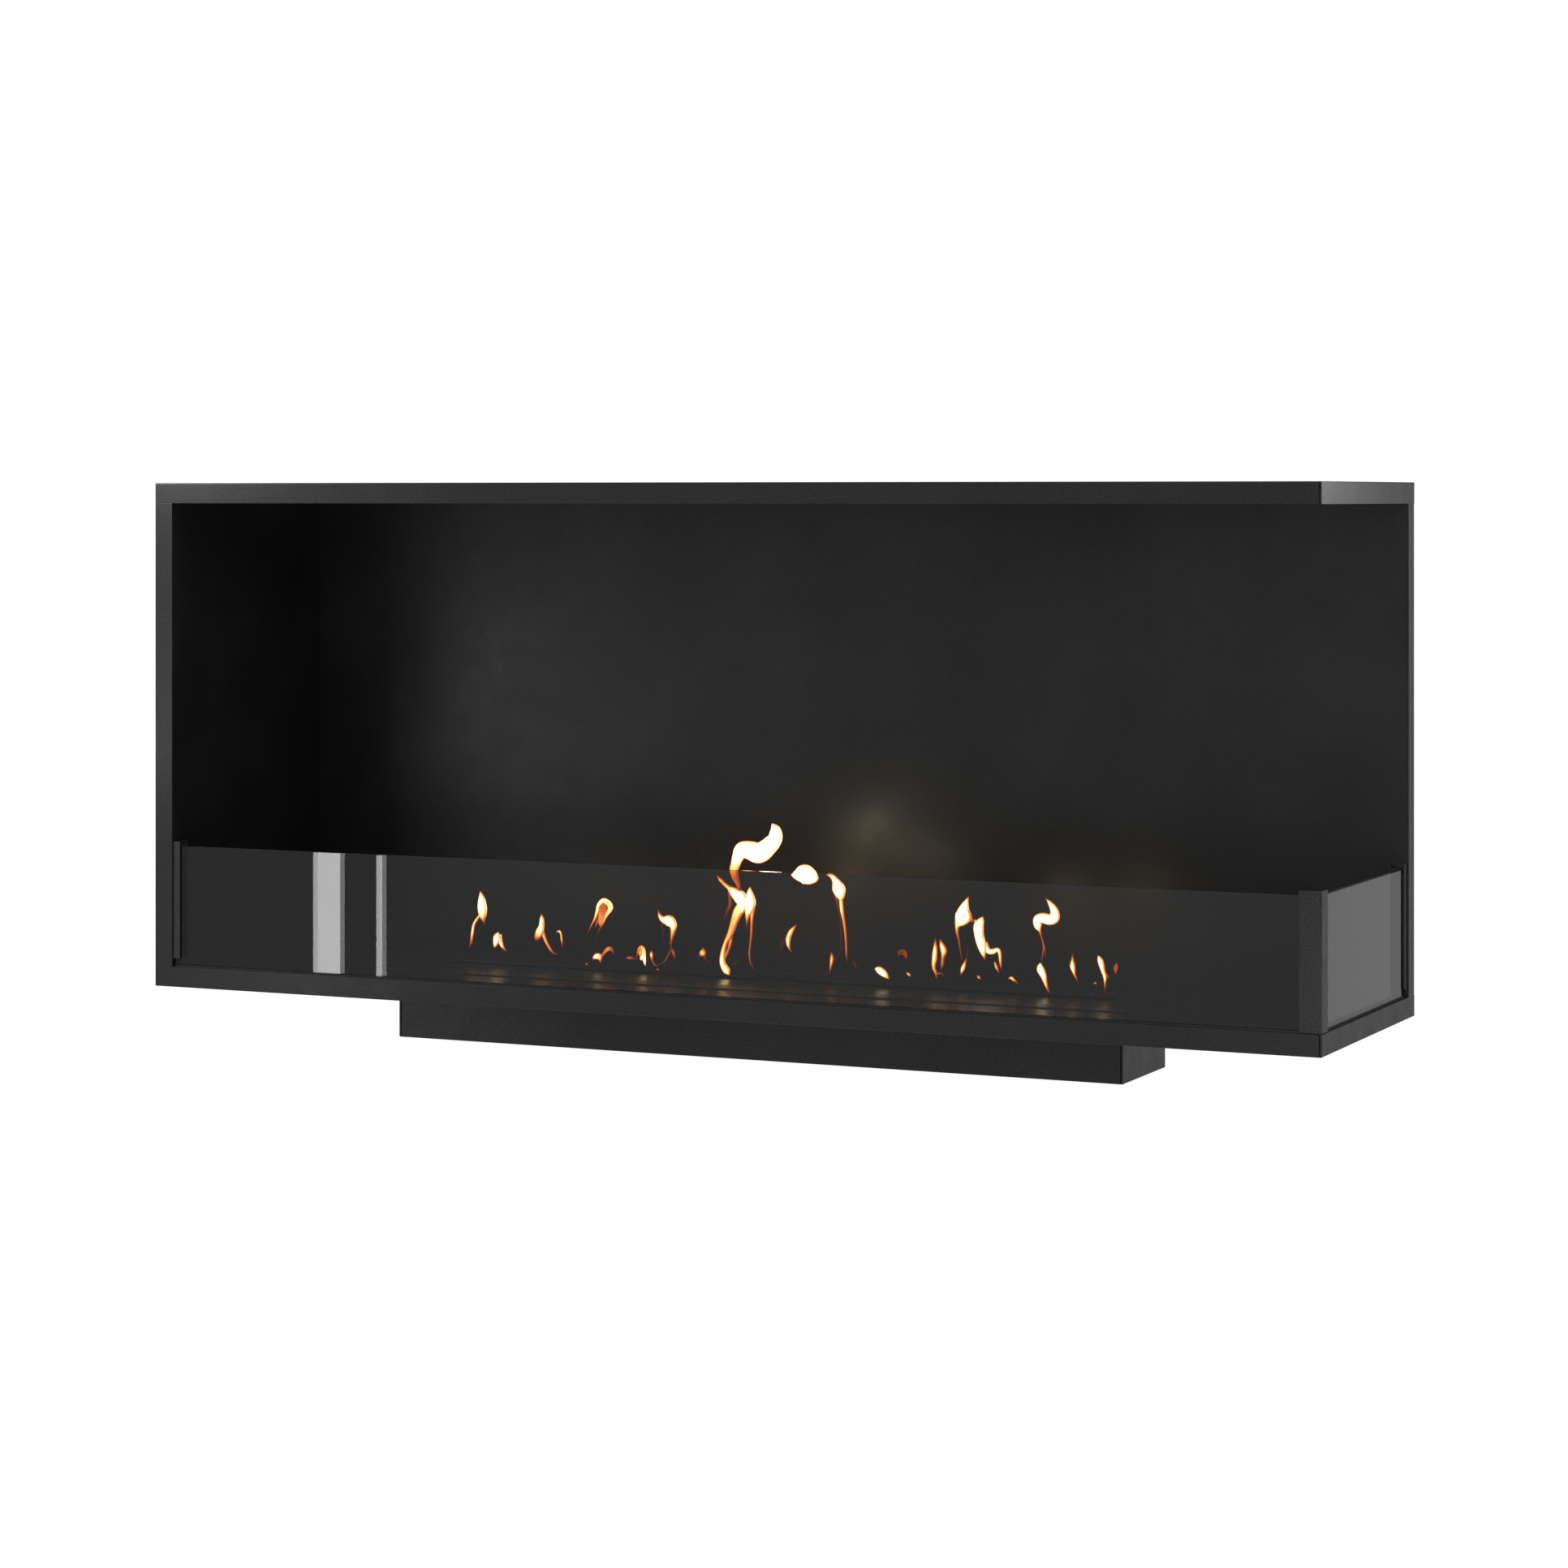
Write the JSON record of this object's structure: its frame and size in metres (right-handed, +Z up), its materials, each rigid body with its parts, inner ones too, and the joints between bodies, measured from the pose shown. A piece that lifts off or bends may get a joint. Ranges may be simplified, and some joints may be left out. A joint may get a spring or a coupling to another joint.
{
  "type": "corner firebox for a bio-ethanol burner",
  "caption": "Long black built-in firebox, open at the front and right, with low glass guards and a drop-in line burner with a sliding damper.",
  "frame": {"origin": "under the middle of the firebox's outside width and depth, on the plane of the burner tray's underside, 48 mm below the firebox's own underside", "axes": "+X to the right along the long front, +Y from the front opening to the back wall, +Z up"},
  "size_m": [1.2, 0.3, 0.548],
  "materials": {
    "outer_powder_coat": "matte",
    "inner_powder_coat": "matte",
    "trim_powder_coat": "matte",
    "burner_black": "satin",
    "galvanised_steel": "satin",
    "stainless_steel": "satin",
    "insulation_board": "matte",
    "ceramic_fibre": "matte",
    "black_silicone": "matte",
    "clear_glass": "polished",
    "blackened_screws": "satin",
    "zinc_screws": "satin"
  },
  "bodies": {
    "firebox": {"top_outer_panel": "outer_powder_coat", "bottom_outer_panel": "outer_powder_coat", "left_outer_panel": "outer_powder_coat", "back_outer_panel": "outer_powder_coat", "ceiling_liner": "inner_powder_coat", "floor_liner": "inner_powder_coat", "left_liner": "inner_powder_coat", "back_liner": "inner_powder_coat", "back_spacer_rails": "galvanised_steel", "top_spacer_rails": "galvanised_steel", "left_spacer_rails": "galvanised_steel", "floor_spacer_rails": "galvanised_steel", "back_insulation": "insulation_board", "top_insulation": "insulation_board", "left_insulation": "insulation_board", "left_glass_channel": "trim_powder_coat", "rear_glass_channel": "trim_powder_coat", "left_channel_gasket": "black_silicone", "rear_channel_gasket": "black_silicone", "corner_post": "trim_powder_coat", "inner_corner_angle": "trim_powder_coat", "glass_rest_strips": "black_silicone", "burner_tray": "outer_powder_coat", "tray_brackets": "galvanised_steel", "tray_screws": "zinc_screws", "casing_screws": "blackened_screws", "channel_screws": "blackened_screws", "post_screws": "blackened_screws", "wall_fixing_nuts": "zinc_screws"},
    "front_glass": {"front_glass": "clear_glass"},
    "side_glass": {"side_glass": "clear_glass"},
    "burner": {"burner_lid": "burner_black", "fuel_tank": "stainless_steel", "ceramic_fibre": "ceramic_fibre", "fibre_grid": "stainless_steel", "burner_feet": "black_silicone", "damper_guides": "stainless_steel", "tank_bridges": "stainless_steel"},
    "damper": {"damper_plate": "burner_black"}
  },
  "joints": [
    {"name": "front_glass_lift", "type": "slide", "parent": "firebox", "child": "front_glass", "axis": [0, 0, 1], "range_m": [0, 0.13]},
    {"name": "side_glass_lift", "type": "slide", "parent": "firebox", "child": "side_glass", "axis": [0, 0, 1], "range_m": [0, 0.13]},
    {"name": "burner_lift", "type": "slide", "parent": "firebox", "child": "burner", "axis": [0, 0, 1], "range_m": [0, 0.075]},
    {"name": "damper_slide", "type": "slide", "parent": "burner", "child": "damper", "axis": [0, -1, 0], "range_m": [0, 0.0295]}
  ]
}
